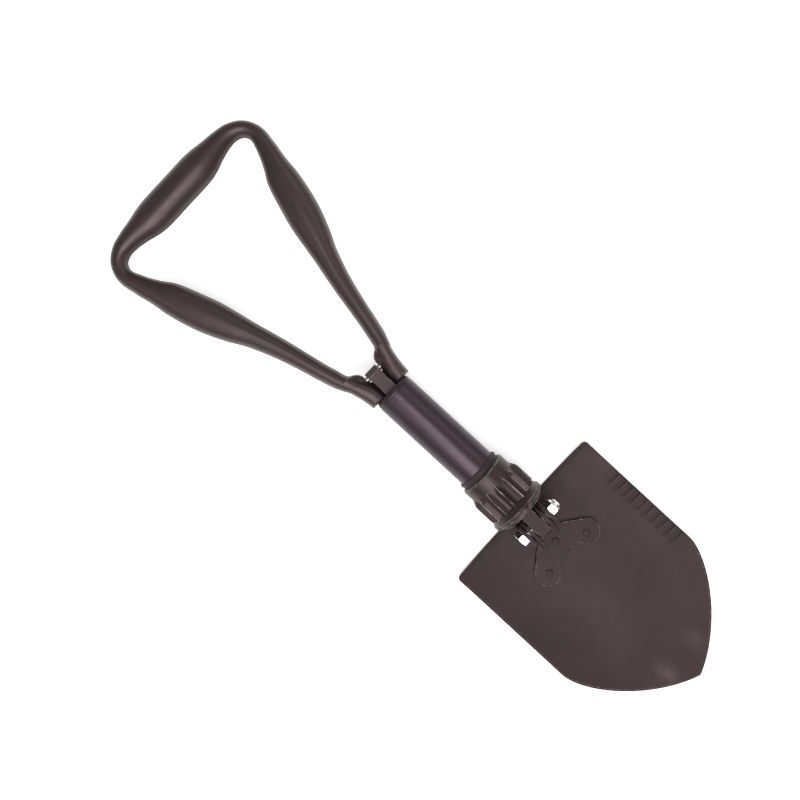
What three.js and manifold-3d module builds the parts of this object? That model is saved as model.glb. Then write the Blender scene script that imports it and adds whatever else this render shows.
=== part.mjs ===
// Tri-fold camp shovel: a pointed blade, a tubular shaft and a D-handle that fold flat beside each other.
// Lengths are millimetres. The shaft lies along X, the blade tip points to +X and the dished front
// faces +Z. While it is being drawn, x = 0 is the shaft's upper rim and z = 0 is the shaft's axis.

import * as THREE from "three";
import { mergeVertices } from "three/addons/utils/BufferGeometryUtils.js";
import Module from "manifold-3d";

// ---------------------------------------------------------------- driving dimensions

const GAP = 0.3; // working clearance between touching pieces

const TUBE = { outer: 17.4, inner: 15.4, top: 1.2, end: 131, chamfer: 1.2, groove: 3.3 };
const COLLAR = { mouth: 98.4, face: 141, plain: 21.2, ribbed: 24.45, flange: 25.7, bore: 20.1 };
const COLLAR_LIP = { end: 107.5, bore: 18.4 }; // narrow mouth in front of the threaded insert
const FLUTES = { count: 15, start: 113, end: 137, radius: 9, centre: 31.35 };
const RING = { start: 141.3, end: 144, outer: 22.8, bore: 12 };

const HANDLE_PIVOT = -21; // x of the pin that the handle folds about
const BLADE_PIVOT = 160; // x of the bolt that the blade folds about

const BLOCK = { halfWidth: 5.9, halfHeight: 9.5, top: -25.3, corner: 5.3, end: 15 };
const TONGUE = { halfWidth: 5.7, halfHeight: 9.5, start: 123, nose: 12.8 };
const ROD = 4; // radius of the tie rod inside the tube

const BLADE = {
  top: 148.1,
  half: 79.4,
  straight: 268.8,
  tip: 355.4,
  tipHalf: 2.5,
  corner: 3.4, // twice the hem's radius
  front: -30,
  sheet: 2.2,
  flat: 30, // half-width of the flat middle
  sideRise: 6,
  tipRise: 3.5,
  hem: 1.7, // height of the rolled step along the top edge
};
const SERRATION = { count: 10, first: 193.4, pitch: 8.04, length: 13.5, radius: 4.6, depth: 1.2 };

const BRACKET = { plate: 2.5, start: 152, lobeX: 202.5, lobeY: 24.4, lobe: 11.4, waist: 202.1 };
const OUTER_EAR = { inner: 10.9, outer: 13.9 };
const INNER_EAR = { inner: 7, outer: 9.4 };
const EAR = 12.5; // radius of the ears about the blade's bolt
const RIVETS = { head: 3.4, shank: 2.4, crown: 1.2 };

const BOLT = { radius: 4, flats: 13, head: 5.5, end: 24.3 };
const NUT = { start: 14.3, shoulder: 20.6, end: 22, crown: 5.8 };

// Handle, from the middle of the grip to the end of one leg: centre x, y, width across and depth.
const HANDLE_LINE = [
  [-239.3, 0, 29.4, 25],
  [-239.3, 22, 29.4, 25],
  [-239.6, 33, 27.2, 24],
  [-240.3, 44, 22.2, 21.5],
  [-240.6, 55, 18.4, 19],
  [-239.2, 65.5, 15.6, 17.5],
  [-233.6, 74.6, 13.6, 17],
  [-223, 78.9, 13, 17],
  [-208.6, 75.7, 15.8, 17.5],
  [-195.6, 71.2, 19.6, 19],
  [-183, 66.6, 25.4, 21],
  [-163, 60.7, 28, 22.5],
  [-146.7, 55.4, 27.8, 22.5],
  [-130.4, 50, 24.4, 21.5],
  [-114.1, 44.2, 19.6, 20],
  [-90, 36.8, 16.2, 19],
  [-65.2, 30.8, 14.3, 19],
  [-36, 24.6, 12.6, 19],
  [-26, 20.6, 10.6, 18.6],
];
const KNUCKLE = { inner: 7.7, half: 9.5, end: 19.4, lobe: 11.6, lobeCorner: 7.3 };
const PIVOT_PIN = { radius: 2.5, halfLength: 20.5 };

// ---------------------------------------------------------------- materials

const look = (color, roughness, metalness) =>
  new THREE.MeshStandardMaterial({ color, roughness, metalness });

const coatedSteel = look(0x55474a, 0.55, 0.3);
const handlePolymer = look(0x4e4345, 0.5, 0);
const anodised = look(0x4f424c, 0.38, 0.7);
const blackPolymer = look(0x2c2728, 0.5, 0);
const sealRubber = look(0x1b1919, 0.75, 0);
const brightZinc = look(0xcfcfcf, 0.3, 1);
const plainSteel = look(0x8b888a, 0.4, 1);
const threadBrass = look(0xb59a58, 0.35, 1);

// ---------------------------------------------------------------- solids

const wasm = await Module();
wasm.setup();

function toSolid(geometry) {
  const bare = geometry.clone();
  for (const name of ["normal", "uv", "uv1"]) bare.deleteAttribute(name);
  const merged = mergeVertices(bare, 1e-4);
  const solid = new wasm.Manifold(
    new wasm.Mesh({
      numProp: 3,
      vertProperties: merged.attributes.position.array,
      triVerts: new Uint32Array(merged.index.array),
    }),
  );
  return solid;
}

function toGeometry(solid) {
  const mesh = solid.getMesh();
  const geometry = new THREE.BufferGeometry();
  geometry.setAttribute("position", new THREE.BufferAttribute(mesh.vertProperties, 3));
  geometry.setIndex(new THREE.BufferAttribute(mesh.triVerts, 1));
  geometry.computeVertexNormals();
  return geometry;
}

const combine = (base, tools, step) =>
  toGeometry(tools.reduce((solid, tool) => step(solid, toSolid(tool)), toSolid(base)));

const cut = (base, ...tools) => combine(base, tools, (a, b) => a.subtract(b));
const join = (base, ...tools) => combine(base, tools, (a, b) => a.add(b));
const common = (base, ...tools) => combine(base, tools, (a, b) => a.intersect(b));

// A turned piece about the X axis. The profile lists [x, radius] once round its section.
function turned(profile, segments = 48) {
  const closed = [...profile];
  if (profile[0][1] > 0) closed.push(profile[0]);
  let area = 0;
  closed.forEach(([x, r], i) => {
    const [nextX, nextR] = closed[(i + 1) % closed.length];
    area += r * nextX - nextR * x;
  });
  if (area < 0) closed.reverse();
  const points = closed.map(([x, r]) => new THREE.Vector2(r, x));
  return new THREE.LatheGeometry(points, segments).rotateZ(-Math.PI / 2);
}

const ring = (from, to, inner, outer, segments) =>
  turned([[from, inner], [to, inner], [to, outer], [from, outer]], segments);

const roundBar = (from, to, radius, segments) =>
  turned([[from, 0], [from, radius], [to, radius], [to, 0]], segments);

// The same, with the turning axis along Y through (x, z).
const acrossY = (geometry, x, z = 0) => geometry.rotateZ(Math.PI / 2).translate(x, 0, z);

// The same, with the turning axis along Z through (x, y).
const upZ = (geometry, x, y) => geometry.rotateY(-Math.PI / 2).translate(x, y, 0);

// A plate cut from an outline in plan, between two heights.
function plate(shape, low, high, curveSegments = 12) {
  const options = { depth: high - low, bevelEnabled: false, curveSegments };
  return new THREE.ExtrudeGeometry(shape, options).translate(0, 0, low);
}

// A plate standing on edge: its outline is in side view (x, z), between two values of y.
function wall(shape, near, far, curveSegments = 12) {
  const options = { depth: far - near, bevelEnabled: false, curveSegments };
  return new THREE.ExtrudeGeometry(shape, options).rotateX(Math.PI / 2).translate(0, far, 0);
}

function box(x0, x1, y0, y1, z0, z1) {
  const middle = [(x0 + x1) / 2, (y0 + y1) / 2, (z0 + z1) / 2];
  return new THREE.BoxGeometry(x1 - x0, y1 - y0, z1 - z0).translate(...middle);
}

// A closed solid from equal rings of points, one after another, with its two ends capped.
function loft(rings) {
  const around = rings[0].length;
  const vertices = rings.flat().flatMap((p) => [p.x, p.y, p.z]);
  const faces = [];
  for (let i = 0; i + 1 < rings.length; i++)
    for (let j = 0; j < around; j++) {
      const a = i * around + j;
      const b = i * around + ((j + 1) % around);
      faces.push(a, b, b + around, a, b + around, a + around);
    }
  const last = (rings.length - 1) * around;
  for (let j = 1; j + 1 < around; j++) {
    faces.push(0, j + 1, j);
    faces.push(last, last + j, last + j + 1);
  }
  const geometry = new THREE.BufferGeometry();
  geometry.setAttribute("position", new THREE.Float32BufferAttribute(vertices, 3));
  geometry.setIndex(faces);
  return geometry;
}

// ---------------------------------------------------------------- assembly tree

const shovel = new THREE.Group();

function body(name) {
  const group = new THREE.Group();
  group.name = name + "_body";
  shovel.add(group);
  return group;
}

const spindle = body("spindle");
const shaft = body("shaft");
const thrust = body("thrust");
const collar = body("collar");
const handle = body("handle");
const blade = body("blade");

function piece(parent, name, geometry, material) {
  const mesh = new THREE.Mesh(geometry, material);
  mesh.name = name;
  parent.add(mesh);
  return mesh;
}

// ---------------------------------------------------------------- spindle inside the tube

const ROD_ENDS = [4, 134];
const ROLL_PINS = [9, 127.5];
const ROLL_PIN = { radius: 1.5, halfLength: 8.8 };

const rodBore = (from, to) => roundBar(from, to, ROD + GAP, 24);
const rollPinHole = (x) => upZ(roundBar(-20, 20, ROLL_PIN.radius + GAP, 16), x, 0);

function handleBlock() {
  const { halfWidth, halfHeight, top, corner, end } = BLOCK;
  const side = new THREE.Shape();
  side.moveTo(end, -halfHeight);
  side.lineTo(end, halfHeight);
  side.lineTo(top + corner, halfHeight);
  side.absarc(top + corner, halfHeight - corner, corner, Math.PI / 2, Math.PI, false);
  side.absarc(top + corner, corner - halfHeight, corner, Math.PI, 1.5 * Math.PI, false);
  return cut(
    wall(side, -halfWidth, halfWidth, 6),
    acrossY(roundBar(-10, 10, PIVOT_PIN.radius + GAP, 24), HANDLE_PIVOT),
    rodBore(ROD_ENDS[0] - GAP, end + 1),
    rollPinHole(ROLL_PINS[0]),
  );
}

function hingeTongue() {
  const { halfWidth, halfHeight, start, nose } = TONGUE;
  const reach = Math.asin(halfHeight / nose);
  const side = new THREE.Shape();
  side.moveTo(start, -halfHeight);
  side.absarc(BLADE_PIVOT, 0, nose, -reach, reach, false);
  side.lineTo(start, halfHeight);
  return cut(
    wall(side, -halfWidth, halfWidth, 10),
    acrossY(roundBar(-10, 10, BOLT.radius + GAP, 24), BLADE_PIVOT),
    rodBore(start - 1, ROD_ENDS[1] + GAP),
    rollPinHole(ROLL_PINS[1]),
  );
}

function tieRod() {
  return cut(roundBar(...ROD_ENDS, ROD, 24), ...ROLL_PINS.map(rollPinHole));
}

piece(spindle, "handle_block", handleBlock(), coatedSteel);
piece(spindle, "hinge_tongue", hingeTongue(), coatedSteel);
piece(spindle, "tie_rod", tieRod(), plainSteel);
["handle_roll_pin", "tongue_roll_pin"].forEach((name, i) => {
  const { radius, halfLength } = ROLL_PIN;
  piece(spindle, name, upZ(roundBar(-halfLength, halfLength, radius, 16), ROLL_PINS[i], 0), plainSteel);
});

// ---------------------------------------------------------------- shaft tube

function shaftTube() {
  const { outer, inner, top, end, chamfer, groove } = TUBE;
  return turned(
    [
      [top, inner],
      [top, outer - chamfer],
      [top + 1.7, outer],
      [groove, outer],
      [groove + 0.1, outer - GAP],
      [groove + 0.7, outer - GAP],
      [groove + 0.8, outer],
      [end, outer],
      [end, inner],
    ],
    56,
  );
}

const BUSH = { bore: 12, flange: 17.2, top: -1, spigotEnd: 12, guideStart: 119 };

function endBush() {
  const { bore, flange, top, spigotEnd } = BUSH;
  const spigot = TUBE.inner - GAP;
  const seat = TUBE.top - GAP;
  return turned([
    [top, bore],
    [top, flange],
    [seat, flange],
    [seat, spigot],
    [spigotEnd, spigot],
    [spigotEnd, bore],
  ]);
}

const guideBush = () => ring(BUSH.guideStart, TUBE.end, BUSH.bore, TUBE.inner - GAP);

piece(shaft, "shaft_tube", shaftTube(), anodised);
piece(shaft, "end_bush", endBush(), blackPolymer);
piece(shaft, "guide_bush", guideBush(), blackPolymer);

// ---------------------------------------------------------------- locking collar

function lockingCollar() {
  const { mouth, face, plain, ribbed, flange, bore } = COLLAR;
  const grip = FLUTES.end;
  const shell = turned(
    [
      [mouth, COLLAR_LIP.bore],
      [mouth, plain - 0.6],
      [mouth + 0.6, plain],
      [107, plain],
      [111, 23.3],
      [114.5, ribbed],
      [grip, ribbed],
      [grip + 0.4, flange - 0.4],
      [grip + 0.9, flange],
      [face - 0.5, flange],
      [face, flange - 0.5],
      [face, bore],
      [COLLAR_LIP.end, bore],
      [COLLAR_LIP.end, COLLAR_LIP.bore],
    ],
    60,
  );
  const flutes = [];
  for (let i = 0; i < FLUTES.count; i++) {
    const angle = ((i + 0.5) / FLUTES.count) * 2 * Math.PI;
    const cutter = turned(
      [
        [FLUTES.start - 2, 0],
        [FLUTES.start, 7],
        [FLUTES.start + 4, FLUTES.radius],
        [FLUTES.end, FLUTES.radius],
        [FLUTES.end, 0],
      ],
      20,
    );
    flutes.push(cutter.translate(0, 0, FLUTES.centre).rotateX(angle));
  }
  return cut(shell, ...flutes);
}

const INSERT_END = 134;
const collarInsert = () =>
  ring(COLLAR_LIP.end + 0.4, INSERT_END, TUBE.outer + GAP, COLLAR.bore - GAP, 40);

const dustSeal = () =>
  turned([[93, 17.75], [93, 18.2], [97.2, 20.9], [98.0, 20.9], [98.0, 17.75]], 40);

piece(thrust, "thrust_ring", ring(RING.start, RING.end, RING.bore, RING.outer), blackPolymer);
piece(collar, "locking_collar", lockingCollar(), blackPolymer);
piece(collar, "collar_insert", collarInsert(), threadBrass);
piece(collar, "dust_seal", dustSeal(), sealRubber);

// ---------------------------------------------------------------- D-handle

// The handle's bar is an oval section carried along one smooth line from knuckle to knuckle.
function handleBar() {
  const half = HANDLE_LINE.slice(1);
  const mirrored = half.map(([x, y, width, depth]) => [x, -y, width, depth]).reverse();
  const stations = [...mirrored, HANDLE_LINE[0], ...half];
  const widths = stations.map(([x, y, width]) => new THREE.Vector3(x, y, width));
  const depths = stations.map(([x, y, , depth]) => new THREE.Vector3(x, y, depth));
  const widthCurve = new THREE.CatmullRomCurve3(widths, false, "catmullrom", 0.5);
  const depthCurve = new THREE.CatmullRomCurve3(depths, false, "catmullrom", 0.5);
  const steps = 2 * (stations.length - 1);
  const around = 16;
  const rings = [];
  for (let i = 0; i <= steps; i++) {
    const t = i / steps;
    const centre = widthCurve.getPoint(t);
    const ahead = widthCurve.getPoint(Math.min(1, t + 1e-3));
    const behind = widthCurve.getPoint(Math.max(0, t - 1e-3));
    const along = new THREE.Vector2(ahead.x - behind.x, ahead.y - behind.y).normalize();
    const depth = depthCurve.getPoint(t).z;
    const section = [];
    for (let j = 0; j < around; j++) {
      const angle = (j / around) * 2 * Math.PI;
      const across = (Math.sign(Math.cos(angle)) * Math.abs(Math.cos(angle)) ** 0.85 * centre.z) / 2;
      const up = (Math.sign(Math.sin(angle)) * Math.abs(Math.sin(angle)) ** 0.85 * depth) / 2;
      section.push(new THREE.Vector3(centre.x + along.y * across, centre.y - along.x * across, up));
    }
    rings.push(section);
  }
  return loft(rings.reverse());
}

// One leg end, drawn for +Y: a block that meets the shaft's rim, with a rounded inner lobe.
function knuckle(side) {
  const { inner, half, end, lobe, lobeCorner } = KNUCKLE;
  const rim = HANDLE_PIVOT + end;
  const crest = HANDLE_PIVOT - lobe;
  const plan = new THREE.Shape();
  plan.moveTo(rim, inner);
  plan.lineTo(rim, 18.2);
  plan.lineTo(rim - 1.6, 20.4);
  plan.lineTo(-8, 21.2);
  plan.lineTo(-16, 23.2);
  plan.lineTo(-24.5, 26);
  plan.lineTo(-36, 29.6);
  plan.lineTo(-36, 19);
  plan.lineTo(crest, inner + lobeCorner + 1);
  plan.absarc(crest + lobeCorner, inner + lobeCorner, lobeCorner, Math.PI, 1.5 * Math.PI, false);
  const profile = new THREE.Shape();
  profile.moveTo(-40, -half);
  profile.absarc(HANDLE_PIVOT, 0, end, -Math.asin(half / end), Math.asin(half / end), false);
  profile.lineTo(-40, half);
  const solid = common(plate(plan, -12, 12, 6), wall(profile, 0, 40, 10));
  return side > 0 ? solid : mirroredY(solid);
}

// The same solid on the other side of the XZ plane, with its faces turned outwards again.
function mirroredY(geometry) {
  const flipped = geometry.clone().scale(1, -1, 1);
  const index = flipped.index.array;
  for (let i = 0; i < index.length; i += 3) {
    [index[i + 1], index[i + 2]] = [index[i + 2], index[i + 1]];
  }
  return flipped;
}

const BUSH_WALL = 1.2; // metal sleeve moulded into each knuckle

function handleFrame() {
  const reach = PIVOT_PIN.halfLength + 0.5;
  const bore = PIVOT_PIN.radius + 2 * GAP + BUSH_WALL;
  const drilled = roundBar(-reach, reach, bore, 24);
  return cut(join(handleBar(), knuckle(1), knuckle(-1)), acrossY(drilled, HANDLE_PIVOT));
}

function knuckleBush(side) {
  const from = KNUCKLE.inner + 0.2;
  const to = PIVOT_PIN.halfLength - 0.5;
  const inner = PIVOT_PIN.radius + GAP;
  const ends = side > 0 ? [from, to] : [-to, -from];
  return acrossY(ring(...ends, inner, inner + BUSH_WALL, 24), HANDLE_PIVOT);
}

const pivotPin = () =>
  acrossY(roundBar(-PIVOT_PIN.halfLength, PIVOT_PIN.halfLength, PIVOT_PIN.radius, 24), HANDLE_PIVOT);

piece(handle, "handle_frame", handleFrame(), handlePolymer);
piece(handle, "handle_pivot_pin", pivotPin(), plainSteel);
piece(handle, "knuckle_bush_left", knuckleBush(1), plainSteel);
piece(handle, "knuckle_bush_right", knuckleBush(-1), plainSteel);

// ---------------------------------------------------------------- blade

// Height of the blade's front surface: flat in the middle, rising to the sides and to the tip.
function bladeHeight(x, y) {
  const { front, flat, half, sideRise, tipRise, straight, tip } = BLADE;
  const beyond = Math.max(0, Math.abs(y) - flat) / (half - flat);
  const forward = Math.max(0, x - straight) / (tip - straight);
  return front + sideRise * beyond ** 2 + tipRise * forward ** 2;
}

// Rows across the blade, each an x, the half-width there and how far the rolled step stands up.
function bladeRows() {
  const { top, half, straight, tip, tipHalf, corner, hem } = BLADE;
  const rows = [];
  const hemSteps = 8;
  for (let i = 0; i <= hemSteps; i++) {
    const angle = (i / hemSteps) * Math.PI;
    const inset = hem * (1 - Math.cos(angle));
    const short = corner - Math.sqrt(corner ** 2 - (corner - inset) ** 2);
    rows.push([top + inset, half - short, hem * Math.sin(angle)]);
  }
  const steps = 8;
  for (let i = 1; i < steps; i++) {
    rows.push([top + corner + (i / steps) * (straight - top - corner), half, 0]);
  }
  const shoulder = new THREE.CubicBezierCurve(
    new THREE.Vector2(straight, half),
    new THREE.Vector2(287.9, half),
    new THREE.Vector2(336, 52.2),
    new THREE.Vector2(tip, tipHalf),
  );
  shoulder.getPoints(14).forEach((p) => rows.push([p.x, p.y, 0]));
  return rows;
}

function bladeSheet() {
  const rings = bladeRows().map(([x, half, lift]) => {
    const inner = Math.min(BLADE.flat, half * 0.6);
    const right = [0, inner / 2, inner];
    for (const f of [0.25, 0.5, 0.75, 1]) right.push(inner + (half - inner) * f);
    const across = [...right.slice(1).map((y) => -y).reverse(), ...right];
    const point = (y, drop) => new THREE.Vector3(x, y, bladeHeight(x, y) - drop);
    const front = across.map((y) => point(y, -lift));
    const back = across.map((y) => point(y, BLADE.sheet)).reverse();
    return [...front, ...back];
  });
  return loft(rings.reverse());
}

// Ground hollows across one edge, each deepest at the edge and running out on the sheet.
function serrations() {
  const { count, first, pitch, length, radius, depth } = SERRATION;
  const edgeHeight = BLADE.front + BLADE.sideRise;
  const edgeDrop = 2.2;
  const tools = [];
  for (let i = 0; i < count; i++) {
    const tool = roundBar(-length, length, radius, 24).rotateZ(Math.PI / 2);
    tool.rotateX(-Math.atan2(depth - edgeDrop, length));
    tools.push(tool.translate(first + i * pitch, BLADE.half, edgeHeight + radius - depth));
  }
  return tools;
}

const RIVET_PLACES = {
  rivet_middle: [188.5, 0],
  rivet_left: [203.2, 23.3],
  rivet_right: [203.2, -23.3],
};
const rivetHoles = () =>
  Object.values(RIVET_PLACES).map(([x, y]) => upZ(roundBar(-40, -20, RIVETS.shank + GAP, 20), x, y));

const BACK = BLADE.front - BLADE.sheet;
const PLATE_TOP = BLADE.front + GAP + BRACKET.plate;

function bracketPlan() {
  const { start, lobeX, lobeY, lobe, waist } = BRACKET;
  const neck = OUTER_EAR.outer;
  const shape = new THREE.Shape();
  shape.moveTo(start, -neck);
  shape.lineTo(180.1, -neck);
  shape.absarc(lobeX, -lobeY, lobe, 1.21 * Math.PI, 0.36 * Math.PI, false);
  shape.lineTo(waist, -10.6);
  shape.lineTo(waist, 10.6);
  shape.absarc(lobeX, lobeY, lobe, -0.36 * Math.PI, 0.79 * Math.PI, false);
  shape.lineTo(180.1, neck);
  shape.lineTo(start, neck);
  return shape;
}

// Side view of an ear: a round head about the bolt on a foot that flares along the plate.
function earSide(bottom) {
  const x = BLADE_PIVOT;
  const shape = new THREE.Shape();
  shape.moveTo(x - 8, bottom);
  shape.lineTo(x + 26.5, bottom);
  shape.lineTo(x + 19, -25.6);
  shape.lineTo(x + 14.5, -21.5);
  shape.absarc(x, 0, EAR, 0, Math.PI, false);
  shape.lineTo(x - EAR, -22);
  return shape;
}

const boltHole = () => acrossY(roundBar(-30, 30, BOLT.radius + GAP, 24), BLADE_PIVOT);

function ears({ inner, outer }, bottom) {
  return [
    wall(earSide(bottom), inner, outer, 10),
    wall(earSide(bottom), -outer, -inner, 10),
  ];
}

function hingeBracket() {
  const sheet = plate(bracketPlan(), BLADE.front + GAP, PLATE_TOP, 14);
  return cut(join(sheet, ...ears(OUTER_EAR, PLATE_TOP - 0.5)), boltHole(), ...rivetHoles());
}

function bracketSaddle() {
  const bottom = PLATE_TOP + GAP;
  const y = INNER_EAR.outer;
  const web = box(BLADE_PIVOT - 8, BLADE_PIVOT + 14, -y, y, bottom, bottom + 2.2);
  return cut(join(web, ...ears(INNER_EAR, bottom)), boltHole());
}

function rivet([x, y]) {
  const { head, shank, crown } = RIVETS;
  const seat = PLATE_TOP + 0.1;
  const profile = [
    [BACK + 0.1, 0],
    [BACK + 0.1, shank],
    [seat, shank],
    [seat, head],
    [seat + crown * 0.5, head * 0.85],
    [seat + crown, head * 0.4],
    [seat + crown, 0],
  ];
  return upZ(turned(profile, 24), x, y);
}

function bladeWithEdge() {
  return cut(bladeSheet(), ...serrations(), ...rivetHoles());
}

piece(blade, "blade", bladeWithEdge(), coatedSteel);
piece(blade, "hinge_bracket", hingeBracket(), coatedSteel);
piece(blade, "bracket_saddle", bracketSaddle(), coatedSteel);
for (const [name, place] of Object.entries(RIVET_PLACES)) {
  piece(blade, name, rivet(place), coatedSteel);
}

// ---------------------------------------------------------------- blade hinge hardware

// A six-sided prism with its axis along Y.
const hexagon = (from, to) =>
  acrossY(roundBar(from, to, BOLT.flats / Math.sqrt(3), 6), BLADE_PIVOT);

function pivotBolt() {
  const under = -NUT.start;
  const shank = acrossY(roundBar(under - 1, BOLT.end, BOLT.radius, 24), BLADE_PIVOT);
  return join(hexagon(under - BOLT.head, under), shank);
}

const NUT_INSERT = 5.15; // outer radius of the nut's nylon ring

function lockNut() {
  const { start, shoulder, end, crown } = NUT;
  const neck = acrossY(roundBar(shoulder - 0.5, end, crown, 24), BLADE_PIVOT);
  const pocket = acrossY(roundBar(shoulder, end + 1, NUT_INSERT + GAP, 24), BLADE_PIVOT);
  return cut(join(hexagon(start, shoulder), neck), boltHole(), pocket);
}

const nutInsert = () =>
  acrossY(ring(NUT.shoulder + GAP, NUT.end - 0.1, BOLT.radius + GAP, NUT_INSERT, 24), BLADE_PIVOT);

const FRICTION_WASHER = { near: 6, far: 6.7, outer: 9 };
const EAR_SPACER = { near: 9.7, far: 10.6, outer: 8 };

const hingeWasher = ({ near, far, outer }, side) => {
  const ends = side > 0 ? [near, far] : [-far, -near];
  return acrossY(ring(...ends, BOLT.radius + GAP, outer, 28), BLADE_PIVOT);
};

piece(blade, "pivot_bolt", pivotBolt(), brightZinc);
piece(blade, "lock_nut", lockNut(), brightZinc);
piece(blade, "nut_insert", nutInsert(), blackPolymer);
piece(blade, "friction_washer_left", hingeWasher(FRICTION_WASHER, 1), plainSteel);
piece(blade, "friction_washer_right", hingeWasher(FRICTION_WASHER, -1), plainSteel);
piece(blade, "ear_spacer_left", hingeWasher(EAR_SPACER, 1), plainSteel);
piece(blade, "ear_spacer_right", hingeWasher(EAR_SPACER, -1), plainSteel);

// ---------------------------------------------------------------- part frame

// The origin is at the middle of the overall length, level with the flat back of the blade.
const bounds = new THREE.Box3().setFromObject(shovel);
shovel.position.set(-(bounds.min.x + bounds.max.x) / 2, 0, -bounds.min.z);

export default shovel;
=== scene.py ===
import math

import bmesh
import bpy
import numpy as np
from mathutils import Matrix, Vector


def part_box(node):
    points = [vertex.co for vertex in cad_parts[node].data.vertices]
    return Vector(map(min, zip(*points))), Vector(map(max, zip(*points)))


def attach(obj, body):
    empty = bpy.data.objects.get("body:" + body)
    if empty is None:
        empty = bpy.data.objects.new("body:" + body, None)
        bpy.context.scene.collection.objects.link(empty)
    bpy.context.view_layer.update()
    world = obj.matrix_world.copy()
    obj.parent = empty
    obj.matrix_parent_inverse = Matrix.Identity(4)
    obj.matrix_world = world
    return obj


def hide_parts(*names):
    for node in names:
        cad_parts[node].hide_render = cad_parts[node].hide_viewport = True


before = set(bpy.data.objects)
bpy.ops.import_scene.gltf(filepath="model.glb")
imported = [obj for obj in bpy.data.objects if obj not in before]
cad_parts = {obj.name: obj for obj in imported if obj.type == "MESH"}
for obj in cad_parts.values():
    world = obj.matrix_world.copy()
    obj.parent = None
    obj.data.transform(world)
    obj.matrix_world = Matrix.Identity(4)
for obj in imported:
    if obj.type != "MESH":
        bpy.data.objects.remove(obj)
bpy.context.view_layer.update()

# ---------------------------------------------------------------- drawing frame
# Pieces are drawn in millimetres, with x = 0 at the shaft's rim and z = 0 on the shaft's axis,
# and are put into the row frame, in metres, as they are made.

MM = 0.001
TUBE_LOW, TUBE_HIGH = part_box("shaft_tube")
TUBE_TOP = 1.2  # where the tube starts, behind the end bush's flange
ORIGIN = Vector((TUBE_LOW.x - TUBE_TOP * MM, 0, (TUBE_LOW.z + TUBE_HIGH.z) / 2))
TUBE_RADIUS = (TUBE_HIGH.z - TUBE_LOW.z) / 2 / MM

HANDLE_PIVOT = -21.0
BLADE_PIVOT = 160.0
BOLT_HOLE = 4.3  # radius of the hole for the blade's bolt
PIN_HOLE = 2.8  # radius of the hole for the handle's pin
BUSH_BORE = 12.0  # radius of the bores in the rim bush and the thrust ring


def local_box(node):
    """A CAD node's box in the drawing frame."""
    low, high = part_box(node)
    return (low - ORIGIN) / MM, (high - ORIGIN) / MM


# ---------------------------------------------------------------- mesh helpers


def make(name, verts, faces, smooth=30):
    """A mesh object from points in the drawing frame, with normals turned outwards."""
    mesh = bpy.data.meshes.new(name)
    mesh.from_pydata([tuple(Vector(v) * MM + ORIGIN) for v in verts], [], faces)
    tidy = bmesh.new()
    tidy.from_mesh(mesh)
    bmesh.ops.remove_doubles(tidy, verts=tidy.verts, dist=2e-6)
    bmesh.ops.recalc_face_normals(tidy, faces=tidy.faces)
    tidy.to_mesh(mesh)
    tidy.free()
    obj = bpy.data.objects.new(name, mesh)
    bpy.context.scene.collection.objects.link(obj)
    shade(obj, smooth)
    return obj


def shade(obj, angle):
    """Smooth shading, with edges sharper than the angle kept crisp."""
    mesh = obj.data
    mesh.shade_smooth()
    mesh.set_sharp_from_angle(angle=math.radians(angle))


def grid_faces(rows, columns, closed_rows, closed_columns):
    """Quads over a grid of points numbered row by row."""
    faces = []
    for i in range(rows if closed_rows else rows - 1):
        for j in range(columns if closed_columns else columns - 1):
            a, b = i % rows * columns, (i + 1) % rows * columns
            k = (j + 1) % columns
            faces.append((a + j, a + k, b + k, b + j))
    return faces


def fillet(points, radius, steps=4, closed=True):
    """A polygon with its corners rounded. A point may carry its own radius as a third value."""
    out = []
    count = len(points)
    for i, p in enumerate(points):
        here = Vector(p[:2])
        size = p[2] if len(p) > 2 else radius
        before, after = Vector(points[i - 1][:2]), Vector(points[(i + 1) % count][:2])
        a, b = before - here, after - here
        size = min(size, a.length * 0.45, b.length * 0.45)
        if size < 1e-3 or (not closed and i in (0, count - 1)):
            out.append(tuple(here))
            continue
        start, end = here + a.normalized() * size, here + b.normalized() * size
        for k in range(steps + 1):
            t = k / steps
            out.append(tuple(start * (1 - t) ** 2 + here * 2 * t * (1 - t) + end * t**2))
    return out


def turned(name, profile, radius=0.3, segments=160, axis="X", at=(0, 0, 0), smooth=30):
    """A turned piece: the profile lists (along, radius[, corner]) once round the section."""
    solid = profile[0][1] == 0
    section = fillet(profile, radius, closed=not solid)
    angles = np.linspace(0, 2 * math.pi, segments, endpoint=False)
    verts = []
    for along, r in section:
        for angle in angles:
            across, up = r * math.cos(angle), r * math.sin(angle)
            point = {"X": (along, across, up), "Y": (up, along, across), "Z": (across, up, along)}[axis]
            verts.append(Vector(point) + Vector(at))
    return make(name, verts, grid_faces(len(section), segments, not solid, True), smooth)


def bake(obj):
    """Applies the object's modifiers to its mesh."""
    depsgraph = bpy.context.evaluated_depsgraph_get()
    mesh = bpy.data.meshes.new_from_object(obj.evaluated_get(depsgraph))
    obj.modifiers.clear()
    obj.data = mesh
    return obj


def slab(name, outline, low, high, plane="XY"):
    """A flat plate with the outline given in its plane, between two heights across it."""
    count = len(outline)
    verts = []
    for level in (low, high):
        for a, b in outline:
            verts.append((a, b, level) if plane == "XY" else (a, level, b))
    faces = [tuple(range(count)), tuple(range(2 * count - 1, count - 1, -1))]
    for i in range(count):
        j = (i + 1) % count
        faces.append((i, j, j + count, i + count))
    return make(name, verts, faces)


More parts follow.
